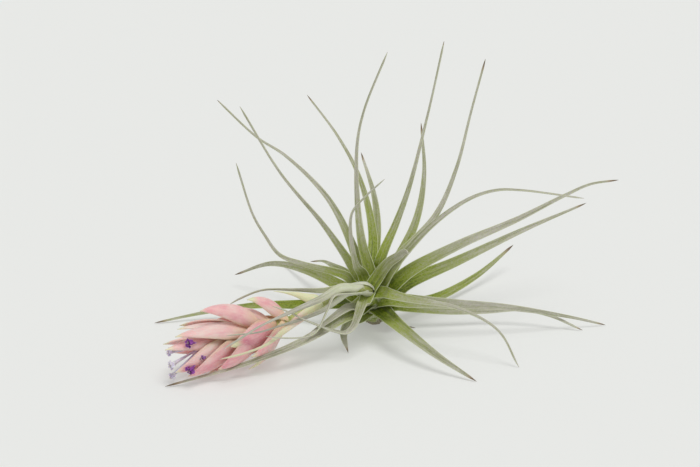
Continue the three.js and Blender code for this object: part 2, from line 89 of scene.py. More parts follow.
# turn and rise are a leaf's place round and along the stem, and a higher taper draws it out into a
# longer thread. green is the share of it that is green before silver scales cover it, and
# silvering_and_shade how far its base has turned silver already; its low values deepen the base green,
# partly as painted shade for leaves down in the heart or under others. dry is the length of its dead
# tip. In degrees, twist is how far it turns on itself by its tip, and roll how far it leans over from
# its base on. blunt marks an end without a point.
LEAVES = {
    "leaf_01_up_left_long": dict(
        turn=112, rise=19.6, width=6.4, taper=2.2, green=0.3, dry=3, twist=14,
        points=[(-10, -4, 38), (-21, 9, 56), (-40, 21, 72), (-53, 27, 79), (-71, 35, 94)]),
    "leaf_02_up_left": dict(
        turn=128, rise=25.3, width=6.2, taper=2.8, green=0.3, dry=1, twist=-10,
        points=[(-9, -14, 30), (-22, -14, 51), (-41, -10, 74), (-58, -5, 102)]),
    "leaf_03_left_upturned": dict(
        turn=152, rise=27.9, width=6.2, taper=2.8, green=0.35, dry=1, twist=10,
        points=[(-13, -21, 31), (-31, -25, 38), (-41, -27, 43), (-47, -28, 52), (-52, -31, 63),
                (-58, -34, 86)]),
    "leaf_04_left_back_curled": dict(
        turn=129, rise=10.1, width=6.5, taper=1.4, green=0.7, dry=11, twist=25, roll=-30,
        points=[(-12, 5, 21), (-18, 18, 20), (-24, 36, 16), (-30, 46, 12)]),
    "leaf_05_left_arched": dict(
        turn=154, rise=16, width=7, taper=1.1, green=0.6, dry=10, twist=-12, roll=-20,
        points=[(-16, -2, 19), (-32, 15, 20), (-48, 30, 17), (-66, 44, 6)]),
    # Its base offset of -0.15 darkens it as painted shade of the leaves over it.
    "leaf_06_left_low": dict(
        turn=173, rise=12.2, width=7.5, taper=1.3, green=0.55, dry=9, twist=8, roll=-45, silvering_and_shade=-0.15,
        points=[(-13, -5, 12), (-30, 0, 9), (-53, 4, 7), (-74, 4, 4), (-99, -1, 0.35)]),
    "leaf_07_heart_hooked": dict(
        turn=111, rise=31.9, width=6, taper=2.2, green=0.3, dry=1, twist=15, silvering_and_shade=0.08,
        slot="silver_leaf",
        points=[(-9, -31, 41), (-11, -36, 58), (-10, -38, 66), (-5, -40, 73), (3, -43, 82)]),
    "leaf_08_up": dict(
        turn=88, rise=27.2, width=6.8, taper=2.6, green=0.27, dry=1, twist=-12, silvering_and_shade=0.1,
        points=[(-6, -10, 42), (-8, 0, 58), (-8, 8, 82), (-5, 11, 96), (5, 14, 121)]),
    "leaf_09_up_back_left": dict(
        turn=95, rise=17.4, width=7, taper=1.8, green=0.45, dry=6, twist=12, silvering_and_shade=0,
        points=[(-1, 8, 38), (-7, 30, 59), (-17, 43, 75), (-31, 55, 91)]),
    "leaf_10_up_back_short": dict(
        turn=90, rise=12.7, width=7, taper=1.1, green=0.6, dry=8, twist=-8,
        points=[(0, 10, 31), (1, 22, 39), (0, 38, 47), (-6, 62, 61)]),
    "leaf_11_up_long": dict(
        turn=72, rise=22, width=7, taper=2.6, green=0.3, dry=3, twist=-10, silvering_and_shade=0,
        points=[(2, -12, 35), (9, -3, 49), (15, 4, 64), (22, 15, 89), (30, 26, 123)]),
    "leaf_12_up_back_right": dict(
        turn=62, rise=15.1, width=7, taper=1.2, green=0.6, dry=9, twist=10,
        points=[(9, 4, 27), (19, 24, 41), (23, 42, 57), (22, 60, 76)]),
    "leaf_13_up_right": dict(
        turn=50, rise=24.2, width=7, taper=2.4, green=0.28, dry=8, twist=12,
        points=[(7, -15, 34), (26, -5, 53), (35, 4, 71), (42, 15, 95), (48, 22, 116)]),
    "leaf_14_heart_folded": dict(
        turn=50, rise=34.5, width=6.5, taper=0.5, green=0.6, dry=0, twist=0, blunt=True,
        slot="silver_leaf",
        points=[(5.4, -27, 39.5), (9.3, -31, 44), (12.1, -35, 47.5), (13.2, -38, 47)]),
    "leaf_15_right_arching": dict(
        turn=32, rise=32, width=6.8, taper=2.4, green=0.28, dry=1, twist=-14,
        points=[(8, -28, 39), (23, -29, 57), (39, -26, 68), (50, -24, 71), (60, -21, 70),
                (89, -12, 63)]),
    "leaf_16_right_long": dict(
        turn=32, rise=19.5, width=8, taper=1.5, green=0.25, dry=8, twist=10, silvering_and_shade=0,
        points=[(15, -10, 29), (36, -5, 39), (63, 2, 49), (84, 8, 58), (95, 11, 62), (108, 14, 63)]),
    "leaf_17_right_wide": dict(
        turn=20, rise=17, width=8, taper=1.2, green=0.42, dry=8, twist=-8, roll=30, silvering_and_shade=0,
        points=[(14, -4, 21), (36, 9, 26), (66, 24, 35), (98, 38, 44)]),
    "leaf_18_right_back_short": dict(
        turn=22, rise=9.8, width=7, taper=0.9, green=0.9, dry=14, twist=10, silvering_and_shade=0.05,
        points=[(13, 4, 9), (26, 17, 4.5), (48, 41, 6.3), (68, 66, 12.8)]),
    "leaf_19_right_drooping": dict(
        turn=344, rise=33, width=7, taper=2.6, green=0.33, dry=1, twist=-12,
        points=[(5, -29, 26), (13, -32, 25), (35, -36, 22), (51, -43, 15), (60, -48, 0.35)]),
    "leaf_20_right_low_long": dict(
        turn=351, rise=24, width=7.5, taper=1.4, green=0.25, dry=6, twist=10, roll=12,
        points=[(10, -19, 19), (32, -16, 16), (58, -13, 13), (86, -7, 6), (103, -3, 0.35)]),
    "leaf_21_right_low": dict(
        turn=0, rise=12.9, width=7, taper=1.2, green=0.32, dry=4, twist=-10, roll=22, silvering_and_shade=0.05,
        points=[(12, -8, 12), (33, -4, 8), (50, -2, 7), (65, -3, 8), (78, -6, 6), (92, -9, 0.35)]),
    "leaf_22_front_wide": dict(
        turn=310, rise=21.9, width=8.5, taper=1, green=0.45, dry=7, twist=6, silvering_and_shade=0,
        points=[(8, -32, 14), (24, -51, 8), (41, -62, 0.35)]),
    "leaf_23_front_left_short": dict(
        turn=233, rise=18.2, width=8, taper=0.9, green=0.55, dry=4, twist=-6,
        points=[(-10, -20, 10), (-14, -27, 6.5), (-12, -33.5, 0.35)]),
    "leaf_24_heart_curled": dict(
        turn=255, rise=34.5, width=7, taper=2.4, green=0.22, dry=0, twist=30, slot="silver_leaf",
        points=[(-6, -33, 23.4), (-8, -36.5, 18.8), (-10, -39, 14.9), (-13, -41.5, 13.4),
                (-18, -43, 14.8), (-28.8, -45, 20.2), (-38, -47, 26), (-44, -45, 27)]),
    "leaf_25_front_left_long": dict(
        turn=232, rise=25.6, width=7.2, taper=1.5, green=0.2, dry=11, twist=8, roll=-12, silvering_and_shade=0,
        points=[(-15, -35, 17), (-30, -46, 12), (-52, -57, 7), (-87, -67, 0.35)]),
    "leaf_26_front_left_stub": dict(
        turn=226, rise=28.4, width=6.5, taper=1.1, green=0.2, dry=0, twist=10, slot="silver_leaf",
        points=[(-12, -31, 20.5), (-20, -39, 18), (-30, -48, 14)]),
    "leaf_27_dry_root_leaf": dict(
        turn=323, rise=8.6, width=4.5, taper=1.1, green=0.6, dry=60, twist=30, slot="dry_leaf", silvering_and_shade=0,
        points=[(8, -5, 4), (13, -6, 1.6), (18, -6, 0.35)]),
    "leaf_28_back_right": dict(
        turn=45, rise=7.3, width=7, taper=1.2, green=0.5, dry=8, twist=8,
        points=[(6, 14, 9), (14, 40, 6), (24, 70, 0.35)]),
    "leaf_29_back_left": dict(
        turn=136, rise=7.5, width=7, taper=1.2, green=0.5, dry=10, twist=-10,
        points=[(-9, 9, 12), (-24, 32, 9.8), (-33, 50, 6.4), (-44, 72, 0.35)]),
    "leaf_30_back": dict(
        turn=91, rise=5.6, width=7, taper=1.2, green=0.45, dry=8, twist=10, silvering_and_shade=0,
        points=[(-3, 12, 13), (-8, 42, 10), (-13, 76, 0.35)]),
}

STALK = Sizes(
    points=[(-3, -23.4, 25.4), (-6, -27.5, 28), (-13, -31, 28), (-22, -33, 24), (-36.5, -36.8, 17.1)],
    radius=2,
    ribs=7,
    rib_share=0.03,
    slims=0.003,  # share of the radius to the millimetre
)
STALK_SHEATH = Sizes(  # the silver leaf base round the stalk's foot
    stem_rises=(23, 30),
    stalk_shares=(0.1, 0.18, 0.26, 0.34, 0.42),
    wrap=340,
    open_to=345,  # the place of its slit round the stem
    shares=[0, 0.3, 0.5, 0.75, 1],
    radii=[4.2, 3.3, 2.75, 2.5, 2.3],
    thickness=0.5,
)
STALK_LEAF = Sizes(
    base_thickness=0.9,
    tip_length=6,
    bend=70,
    taper=1.6,
    wave=0.2,
    sheath=4,  # length of the base that holds the stalk
    wrap=130,
    off=0.1,  # between the stalk and the base's route
    clear=0.3,
    narrowest=0.4,  # the base's width at its lower end, as a share
    fades=3,
    in_stem=5,  # how deep a base that starts below the stalk's foot stands in the stem
)

# along is the root's place on the stalk, from 0 at the heart to 1 at the head, and lime how lime green
# its base is.
STALK_LEAVES = {
    "stalk_leaf_1_over_head": dict(
        along=0.25, width=5.5, lime=0.45, twist=10,
        points=[(-15, -34.5, 31), (-23, -40, 28.5), (-35, -48, 26), (-48, -57, 23), (-58, -64, 19),
                (-63, -67, 17)]),
    "stalk_leaf_2_along_head": dict(
        along=0.35, width=5, lime=0.2, twist=-15,
        points=[(-22, -39, 23), (-31, -44, 21), (-40, -50, 20.5), (-49, -56, 20), (-62, -60, 20)]),
    "stalk_leaf_3_hanging": dict(
        along=0.12, width=5, taper=2.6, lime=0.1, twist=20,
        points=[(-11, -34, 28), (-18, -39, 29), (-21, -44, 24), (-26, -50, 17), (-33, -53, 16),
                (-41, -57, 18), (-46, -60, 20)]),
    "stalk_leaf_4_arching": dict(
        along=0.3, width=3.8, lime=0.95, twist=10,
        points=[(-15, -27, 28), (-22, -25, 26), (-35, -22, 25), (-49, -20, 24), (-59, -20, 20),
                (-64, -20, 17)]),
}

LOWER_BRACT_THICKNESS = 0.8
# lime is the share of its length where pink gives way to lime, and silver how silver that then turns.
LOWER_BRACTS = {
    "lower_bract_1_green": dict(
        along=0.62, width=7.5, twist=8, roll=-65, blush=0.1, lime=-0.2, silver=0, slot="stalk",
        points=[(-27, -33.5, 25.5), (-35, -33, 27.5), (-44, -32, 28.5)]),
    "lower_bract_2_tailed": dict(
        along=0.72, width=5.5, twist=-10, roll=10, blush=0.25, lime=0.3, silver=0.7,
        slot="silver_leaf",
        points=[(-33, -43, 20), (-39, -51, 18), (-45, -59, 16), (-54, -66, 15), (-64, -70, 14)]),
}

HEAD = Sizes(start=(-37, -37, 17), end=(-85, -61, 11))
CORE = Sizes(start=0.3, end=38, radius=2.3, slims=0.6, ribs=5, rib_share=0.06, rib_pace=0.4)
BRACT = Sizes(
    thickness=0.75,
    fuller=1.25,  # its true width across the bend, over the solid's width
    bend=115,
    tip_bend=80,
    root_reach=0.8,
    bulge_at=0.42,  # where along the bract it turns from standing off to pointing forward
    bulge=0.88,  # how far off it is there, as a share of its tip's reach
    widest_at=0.4,
    root_share=0.6,  # width at the root as a share of the full width
    tip_width=0.5,
    tip_length=3,
    tip_least=0.1,
    twist=4,
)

# start and end are lengths along the head's axis, turn is the place round it in degrees, from the top
# over the viewer's side, and reach is how far the tip stands off the axis. blush is how deep its pink
# is, pale how much of its tip is greenish cream, and roll how far it leans over in degrees.
BRACTS = [
    # start, end, turn, reach, width, blush, pale, roll
    (1, 17, -5, 14.5, 7.5, 0.6, 0.2, -40),
    (8, 25, -32, 12, 8.5, 0.5, 0.2, -30),
    (12, 39, 5, 17, 8.5, 0.6, 0, -42),
    (20, 48, -25, 10, 8.5, 0.25, 0.08, -15),
    (17, 52, 22, 11, 9.5, 0.42, 0.06),
    (28, 57, 35, 7, 7, 0.5, 0.1),
    (28, 55.5, 110, 9, 10.5, 0.5, 0.05),
    (23, 51, 120, 11.5, 11.5, 0.65, 0),
    (14, 38.5, 114, 13.5, 11.5, 0.75, 0),
    (7, 31, 82, 10, 10.5, 0.85, 0.2),
    (3, 23.5, 112, 13, 8.5, 0.6, 0.1),
    (4, 24, 145, 14.5, 8, 0.5, 0.3),
    (14, 40, 176, 12.4, 9, 0.6, 0.1),
    (5, 27, 204, 13, 8.5, 0.6, 0.2),
    (16, 38, 230, 13.5, 9, 0.6, 0.1),
    (3, 22, 252, 13, 8.5, 0.5, 0.2),
    (10, 34, 282, 13.5, 9, 0.6, 0.1),
    (20, 45, 308, 12.5, 9, 0.5, 0.1),
    (26, 51, 254, 9.5, 8.5, 0.6, 0.1),
    (28, 52, 186, 8, 8.5, 0.6, 0.1),
    (31, 55, 318, 6, 8, 0.5, 0.1),
]

# A flower's mouth is placed as a bract's tip is. pale is 0 for a fresh violet flower and 1 for a faded
# one, and shown is the length of tube that is drawn.
FLOWERS = [
    # name, along, turn, reach, pale, size, shown
    ("flower_1", 46.5, 44, 9.5, 0.0, 1, 3),
    ("flower_2", 53.5, 25, 3.2, 0.95, 0.9, 15),
    ("flower_3", 54.5, 105, 4.5, 1, 1, 15),
    ("flower_4", 49, 107, 10.4, 0.0, 1, 3),
    ("flower_5", 42.5, 93, 8, 0.1, 0.6, 3),
    ("flower_6", 54.5, 164, 7.5, 1, 0.75, 15),
]
FLOWER = Sizes(
    length=9,
    base_share=0.35,  # how far off the head's axis its base is, as a share of its reach
    tube_radius=0.8,
    petals=3,
    petal_length=2.6,
    petal_width=2.2,
    petal_thickness=0.2,
    petal_wave=0.25,
    stamens=5,
    stamen_radius=0.1,
    knob_length=0.8,
)

CAMERA = Sizes(
    target=(-11.23, 0, 42.78),
    elevation=20,
    distance=700,
    frame_width=308,
    sensor=36,
    nearest=10,
    farthest=20000,
)


# -------------------------------- curves and frames

SPAN_SAMPLES = 40  # of a spline between two of its points
ARC_SAMPLES = 60


def unit(v):
    return v / np.linalg.norm(v)


def lerp(a, b, share):
    return a + (b - a) * share


def smooth_step(low, high, x):
    t = np.clip((np.asarray(x, float) - low) / (high - low), 0, 1)
    return t * t * (3 - 2 * t)


def steady(number):
    """The same number all along a piece."""
    return lambda run: number + 0 * run


class Route:
    """A line through space, read by the share of its length."""

    def __init__(self, samples):
        self.samples = np.asarray(samples, float)
        steps = np.linalg.norm(np.diff(self.samples, axis=0), axis=1)
        self.lengths = np.concatenate([[0], np.cumsum(steps)])
        self.length = self.lengths[-1]

    def at(self, shares):
        wanted = np.clip(shares, 0, 1) * self.length
        axes = [np.interp(wanted, self.lengths, self.samples[:, i]) for i in range(3)]
        return np.stack(axes, axis=-1)

    def tangents(self, shares):
        shares = np.asarray(shares, float)
        near = 0.004
        way = self.at(shares + near) - self.at(shares - near)
        return way / np.linalg.norm(way, axis=-1, keepdims=True)

    def length_to(self, point):
        away = np.linalg.norm(self.samples - point, axis=1)
        return self.lengths[int(np.argmin(away))]


def spline(points):
    """A centripetal spline through the points."""
    p = np.asarray(points, float)
    p = np.vstack([2 * p[0] - p[1], p, 2 * p[-1] - p[-2]])
    t = np.linspace(0, 1, SPAN_SAMPLES, endpoint=False)[:, None]
    spans = []
    for a, b, c, d in zip(p, p[1:], p[2:], p[3:]):
        d0, d1, d2 = (math.sqrt(np.linalg.norm(v)) for v in (b - a, c - b, d - c))
        out = ((b - a) / d0 - (c - a) / (d0 + d1) + (c - b) / d1) * d1
        into = ((c - b) / d1 - (d - b) / (d1 + d2) + (d - c) / d2) * d1
        cubic = 2 * b - 2 * c + out + into
        square = -3 * b + 3 * c - 2 * out - into
        spans.append(b + out * t + square * t**2 + cubic * t**3)
    return Route(np.vstack([*spans, p[-2]]))


def arc(start, middle, end):
    """A quadratic arc that leaves start towards middle and reaches end from it."""
    t = np.linspace(0, 1, ARC_SAMPLES)[:, None]
    return Route((1 - t) ** 2 * start + 2 * t * (1 - t) * middle + t**2 * end)


def carried(tangents, up):
    """Normals carried along a line without twist, starting from up."""
    normals = []
    normal = np.asarray(up, float)
    for tangent in tangents:
        normal = unit(normal - tangent * (normal @ tangent))
        normals.append(normal)
    return np.array(normals)


def turned(vectors, axes, degrees):
    """Each vector turned about its axis, which is square to it."""
    angle = np.radians(degrees)[:, None]
    return vectors * np.cos(angle) + np.cross(axes, vectors) * np.sin(angle)


def wander(count, seed, waves=3):
    """A smooth random line between about -1 and 1."""
    rng = np.random.default_rng(seed)
    x = np.linspace(0, 1, count)
    line = sum(
        rng.normal() / k * np.sin(2 * np.pi * (k * x * 0.7 + rng.random())) for k in range(1, waves + 1)
    )
    return line / max(1.0, np.abs(line).max())


# -------------------------------- meshes

BLADE_POINTS = 15  # across each face of a blade
EDGE_POWER = 2.6  # a higher one keeps a blade thick until nearer its edges
FLATTEST = 0.02  # a blade's least bend to either side, in radians
SWAY = 4  # degrees that a blade turns at random by its tip
TUBE_UP = (0.1, 0.2, 1)  # the side of a tube where its rings start
SEED_STEP = 7.31  # between the noise of one seed and the next
FACE_STEP = 40  # between the noise of a blade's two faces


def add_object(name, data):
    made = bpy.data.objects.new(name, data)
    bpy.context.scene.collection.objects.link(made)
    return made


class Skin:
    """Points, faces and named values per point that become one piece."""

    def __init__(self):
        self.points = np.zeros((0, 3))
        self.faces = []
        self.values = {}

    def add_rings(self, rings, values):
        """A closed skin over rings of equally many points, joined in order. values holds a number per
        point of each ring."""
        count, around = rings.shape[:2]
        first = len(self.points)
        last = first + (count - 1) * around
        for name in {**self.values, **values}:
            old = self.values.get(name, np.zeros(first))
            new = values.get(name, np.zeros((count, around)))
            self.values[name] = np.concatenate([old, np.broadcast_to(new, (count, around)).ravel()])
        self.points = np.vstack([self.points, rings.reshape(-1, 3)])
        for row in range(first, last, around):
            for j in range(around):
                k = (j + 1) % around
                self.faces.append((row + j, row + k, row + around + k, row + around + j))
        self.faces.append(tuple(reversed(range(first, first + around))))
        self.faces.append(tuple(range(last, last + around)))

    def piece(self, name, material, slot, *nodes):
        """The piece, in metres and above the table, that stands for these nodes."""
        points = self.points.copy()
        points[:, 2] = np.maximum(points[:, 2], 0)
        mesh = bpy.data.meshes.new(name)
        mesh.from_pydata((points * MM).tolist(), [], self.faces)
        mesh.shade_smooth()
        for value_name, numbers in self.values.items():
            attribute = mesh.attributes.new(value_name, "FLOAT", "POINT")
            attribute.data.foreach_set("value", numbers.astype(np.float32))
        mesh.materials.append(material)
        mesh.update()
        made = add_object(name, mesh)
        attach(made, "root")
        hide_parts(*nodes)


def spread(values, run, shape):
    """Functions of the length from the start, as numbers for every point of the rings."""
    return {name: np.broadcast_to(value(run)[:, None], shape) for name, value in values.items()}


def middle_depth(bend):
    """Half the depth of a blade's bend, as a share of its radius."""
    return 0.5 * (1 - np.cos(np.radians(bend / 2)))


def blade_rings(places, sides, normals, width, thickness, bend, seat):
    """Rings round a thin blade that is bent across through so many degrees, with each point's place
    across, its face and its length from the middle. seat says where the route runs, as a share of the
    bend's radius up from the blade's back, and is half way up its depth where it is None."""
    across = -np.cos(np.linspace(0, np.pi, BLADE_POINTS))
    ring = np.concatenate([across, across[-2:0:-1]])
    face = np.concatenate([-np.ones(BLADE_POINTS), np.ones(BLADE_POINTS - 2)])
    face[[0, BLADE_POINTS - 1]] = 0
    fullness = np.clip(1 - np.abs(ring) ** EDGE_POWER, 0, 1) ** 0.5
    half = np.radians(bend)[:, None] / 2
    radius = width[:, None] / 2 / np.maximum(half, FLATTEST)
    angle = ring * half
    middle = (middle_depth(bend) if seat is None else seat)[:, None]
    out = face * fullness * thickness[:, None] / 2
    reach = radius * np.sin(angle) - out * np.sin(angle)
    rise = radius * (1 - np.cos(angle) - middle) + out * np.cos(angle)
    rings = places[:, None] + sides[:, None] * reach[..., None] + normals[:, None] * rise[..., None]
    return rings, ring, face, width[:, None] / 2 * ring


def add_blade(skin, route, up, width, thickness, bend, seed, *, step, values, twist=0, roll=0,
              wave=0.0, seat=None):
    """A blade along a route. width, thickness, bend and seat are functions of the length from the
    start, and values are the named values that its points carry, as functions of that length."""
    count = max(8, int(route.length / step))
    shares = np.linspace(0, 1, count)
    run = shares * route.length
    tangents = route.tangents(shares)
    lean = twist * smooth_step(0.1, 1, shares) + roll * smooth_step(0.02, 0.25, shares)
    lean = lean + SWAY * wander(count, seed) * shares
    normals = turned(carried(tangents, up), tangents, lean)
    sides = np.cross(normals, tangents)
    drift = wave * wander(count, seed + 1, 5) * smooth_step(0.1, 0.4, shares)
    places = route.at(shares) + normals * drift[:, None]
    rings, ring, face, from_middle = blade_rings(
        places, sides, normals, width(run), thickness(run), bend(run), seat and seat(run))
    shape = rings.shape[:2]
    skin.add_rings(rings, {
        "skin_u": from_middle,
        "skin_v": np.broadcast_to(run[:, None], shape),
        "skin_seed": np.full(shape, seed * SEED_STEP) + FACE_STEP * (face < 0)[None, :],
        "across": np.broadcast_to(np.abs(ring)[None, :], shape),
        "under": np.broadcast_to((face < 0).astype(float)[None, :], shape),
        **spread(values, run, shape),
    })


def add_tube(skin, route, radius, sides, step=1.0, values=None):
    """A tube along a route, whose radius is a function of the length from the start and of the place
    round it in radians."""
    count = max(6, int(route.length / step))
    shares = np.linspace(0, 1, count)
    run = shares * route.length
    tangents = route.tangents(shares)
    normals = carried(tangents, TUBE_UP)
    across = np.cross(normals, tangents)
    angle = np.linspace(0, 2 * np.pi, sides, endpoint=False)
    r = radius(run[:, None], angle[None, :]) * np.ones((count, sides))
    rings = (
        route.at(shares)[:, None]
        + normals[:, None] * (r * np.cos(angle))[..., None]
        - across[:, None] * (r * np.sin(angle))[..., None]
    )
    skin.add_rings(rings, {
        "skin_u": r * angle,
        "skin_v": np.broadcast_to(run[:, None], r.shape),
        **spread(values or {}, run, r.shape),
    })


def rounded_tip(left, over, least=0.02):
    """How much of its width a blade keeps where so much length is left before its tip."""
    return np.clip(left / over, least, 1) ** 0.6


# -------------------------------- materials

def srgb(red, green, blue):
    """A colour given in 0 to 255 as seen on a screen."""
    def linear(c):
        c /= 255
        return c / 12.92 if c <= 0.04045 else ((c + 0.055) / 1.055) ** 2.4
    return (linear(red), linear(green), linear(blue), 1.0)


class Shader:
    """A node material, built by small steps. A step's arguments are numbers, colours or sockets."""

    def __init__(self, name):
        self.material = bpy.data.materials.new(name)
        self.material.use_nodes = True
        self.tree = self.material.node_tree
        self.bsdf = self.tree.nodes["Principled BSDF"]

    def put(self, socket, value):
        if isinstance(value, bpy.types.NodeSocket):
            self.tree.links.new(value, socket)
        else:
            socket.default_value = value

    def node(self, kind, inputs, output=0, **settings):
        made = self.tree.nodes.new("ShaderNode" + kind)
        for name, value in settings.items():
            setattr(made, name, value)
        for socket, value in inputs.items():
            self.put(made.inputs[socket], value)
        return made.outputs[output]

    def value(self, name):
        return self.node("Attribute", {}, "Fac", attribute_name=name)

    def math(self, operation, a, b):
        return self.node("Math", {0: a, 1: b}, operation=operation)

    def times(self, a, b):
        return self.math("MULTIPLY", a, b)

    def add(self, first, *others):
        for other in others:
            first = self.math("ADD", first, other)
        return first

    def scaled(self, x, by):
        """A noise about a half, made to vary about 0 and by so much."""
        return self.times(self.math("SUBTRACT", x, 0.5), by)

    def mix(self, share, a, b):
        return self.node("Mix", {0: share, 6: a, 7: b}, 2, data_type="RGBA")

    def ramp(self, x, low, high, to_low=0.0, to_high=1.0):
        inputs = {0: x, 1: low, 2: high, 3: to_low, 4: to_high}
        return self.node("MapRange", inputs, interpolation_type="SMOOTHSTEP")

    def ramp_colours(self, x, stops):
        made = self.tree.nodes.new("ShaderNodeValToRGB")
        ramp = made.color_ramp
        ramp.elements[0].position, ramp.elements[0].color = stops[0]
        ramp.elements[1].position, ramp.elements[1].color = stops[-1]
        for place, colour in stops[1:-1]:
            ramp.elements.new(place).color = colour
        self.put(made.inputs[0], x)
        return made.outputs[0]

    def noise(self, per_u, per_v, detail=3.0, roughness=0.55):
        """Noise of so many cells to the millimetre across and along the skin."""
        u = self.times(self.value("skin_u"), per_u)
        v = self.times(self.value("skin_v"), per_v)
        place = self.node("CombineXYZ", {0: u, 1: v, 2: self.value("skin_seed")})
        return self.node(
            "TexNoise", {"Vector": place, "Scale": 1.0, "Detail": detail, "Roughness": roughness})

    def bump(self, height, depth):
        return self.node("Bump", {"Height": height, "Strength": 1.0, "Distance": depth * MM})

    def finish(self, **inputs):
        for name, value in inputs.items():
            self.put(self.bsdf.inputs[name.replace("_", " ")], value)
        return self.material


LEAF_AGES_AND_SHADE = [  # from the fresh base to the silver thread; the deepest base greens are partly painted shade of the crevices in the heart
    (0.0, srgb(92, 110, 8)),
    (0.15, srgb(132, 151, 28)),
    (0.3, srgb(150, 163, 64)),
    (0.55, srgb(162, 167, 121)),
    (1.0, srgb(188, 184, 171)),
]
LEAF_LIME = srgb(206, 218, 150)
SHEATH_SILVER = srgb(226, 229, 208)
SCALE_SILVER = srgb(208, 209, 194)
EDGE_PALE = srgb(222, 226, 196)
FURROW_OLIVE = srgb(114, 118, 86)
DRY_TAN = srgb(182, 163, 137)
DRY_BROWN = srgb(112, 94, 76)
STALK_GREENS = (srgb(152, 160, 70), srgb(198, 204, 130))
BRACT_PINKS = [(0.0, srgb(250, 228, 216)), (0.5, srgb(246, 190, 190)), (1.0, srgb(222, 120, 148))]
BRACT_PEACH = srgb(246, 214, 176)
BRACT_LIME = srgb(224, 227, 182)
BRACT_SILVER = srgb(202, 202, 172)
BRACT_EDGE = srgb(222, 196, 140)
BRACT_BLOOM = srgb(250, 238, 232)
FRESH_VIOLETS = (srgb(108, 40, 126), srgb(164, 88, 172))
FADED_LILACS = (srgb(220, 208, 240), srgb(246, 242, 252))
TUBE_LILAC = srgb(226, 206, 230)
POLLEN_CREAM = srgb(232, 214, 176)
ROOT_TANS = (srgb(130, 122, 98), srgb(174, 166, 142))
STEM_GREENS = (srgb(146, 154, 108), srgb(204, 206, 184))


def leaf_material():
    """Green that fine silver scales cover more and more, with pale edges and a dead brown tip. Its
    deepest base greens are partly painted shade.
    """
    s = Shader("leaf_skin")
    nerves = s.noise(1.5, 0.03)
    patches = s.noise(0.45, 0.12)
    mottle = s.noise(1.4, 0.8, roughness=0.75)
    grain = s.noise(4.5, 1.1, detail=4.0, roughness=0.7)
    scales = s.noise(9.0, 3.0, detail=2.0, roughness=0.6)
    streaks = s.noise(0.9, 0.12, detail=4.0, roughness=0.75)

    age = s.add(
        s.math("MINIMUM", s.value("age"), 0.9), s.scaled(patches, 0.4), s.scaled(nerves, 0.7),
        s.scaled(grain, 1.0), s.scaled(mottle, 0.9), s.times(s.value("under"), 0.12))
    colour = s.ramp_colours(age, LEAF_AGES_AND_SHADE)
    colour = s.mix(s.ramp(nerves, 0.52, 0.34, 0.0, 0.45), colour, FURROW_OLIVE)
    colour = s.mix(s.value("lime"), colour, LEAF_LIME)

    silver = s.add(s.times(scales, 0.5), s.times(streaks, 0.5))
    fleck = s.times(s.ramp(silver, 0.48, 0.62), s.ramp(s.value("age"), 0.05, 1.0, 0.0, 0.75))
    colour = s.mix(fleck, colour, SCALE_SILVER)
    sheath = s.times(s.value("silver"), s.ramp(silver, 0.3, 0.6, 0.4, 1.0))
    colour = s.mix(sheath, colour, SHEATH_SILVER)
    edge = s.times(s.ramp(s.value("across"), 0.9, 1.0), 0.65)
    colour = s.mix(edge, colour, EDGE_PALE)

    dead = s.ramp(s.add(s.value("dry"), s.scaled(patches, 0.5)), 0.25, 0.8)
    brown = s.mix(s.ramp(s.value("dry"), 0.4, 1.0), DRY_TAN, DRY_BROWN)
    colour = s.mix(dead, colour, brown)

    relief = s.add(nerves, s.times(scales, 0.35), s.times(grain, 0.4))
    return s.finish(
        Base_Color=colour, Roughness=s.ramp(s.value("age"), 0.0, 1.0, 0.5, 0.8),
        Normal=s.bump(relief, 0.14), Specular_IOR_Level=0.25,
        Subsurface_Weight=0.15, Subsurface_Radius=(0.8, 1.0, 0.4), Subsurface_Scale=0.0012,
        Sheen_Weight=0.1, Sheen_Roughness=0.5)


def stalk_material():
    """Smooth pale lime green, a little ribbed, with thin silver fluff."""
    s = Shader("stalk_skin")
    ribs = s.noise(1.6, 0.06, detail=2.0)
    fluff = s.noise(4.0, 1.2)
    colour = s.mix(s.ramp(ribs, 0.3, 0.7), *STALK_GREENS)
    colour = s.mix(s.ramp(fluff, 0.45, 0.7, 0.0, 0.6), colour, SCALE_SILVER)
    return s.finish(
        Base_Color=colour, Roughness=0.6, Normal=s.bump(ribs, 0.12), Specular_IOR_Level=0.35,
        Subsurface_Weight=0.15, Subsurface_Radius=(0.9, 1.0, 0.4), Subsurface_Scale=0.0015)


def bract_material():
    """Pink that warms to peach at the root and turns lime at some tips, with fine veins."""
    s = Shader("bract_skin")
    veins = s.noise(1.9, 0.04, detail=2.0)
    clouds = s.noise(0.3, 0.13)
    scales = s.noise(4.0, 1.8, detail=2.0)
    along = s.value("along")

    depth = s.add(s.times(s.value("blush"), 0.8), s.scaled(clouds, 1.1), s.scaled(veins, 0.35))
    pink = s.ramp_colours(depth, BRACT_PINKS)
    root = s.ramp(s.add(along, s.scaled(clouds, 0.2)), 0.45, 0.05)
    colour = s.mix(s.times(root, 0.85), pink, BRACT_PEACH)
    colour = s.mix(s.times(s.value("lime"), 0.9), colour, BRACT_LIME)
    thin = s.times(s.ramp(s.value("across"), 0.7, 1.0), s.ramp(along, 0.9, 0.2, 0.15, 0.6))
    colour = s.mix(thin, colour, BRACT_EDGE)
    colour = s.mix(s.ramp(scales, 0.55, 0.72, 0.0, 0.35), colour, BRACT_BLOOM)
    colour = s.mix(s.value("silver"), colour, BRACT_SILVER)
    return s.finish(
        Base_Color=colour, Roughness=0.5, Normal=s.bump(veins, 0.12), Specular_IOR_Level=0.35,
        Subsurface_Weight=0.4, Subsurface_Radius=(1.0, 0.6, 0.55), Subsurface_Scale=0.0025,
        Sheen_Weight=0.1, Sheen_Roughness=0.5)


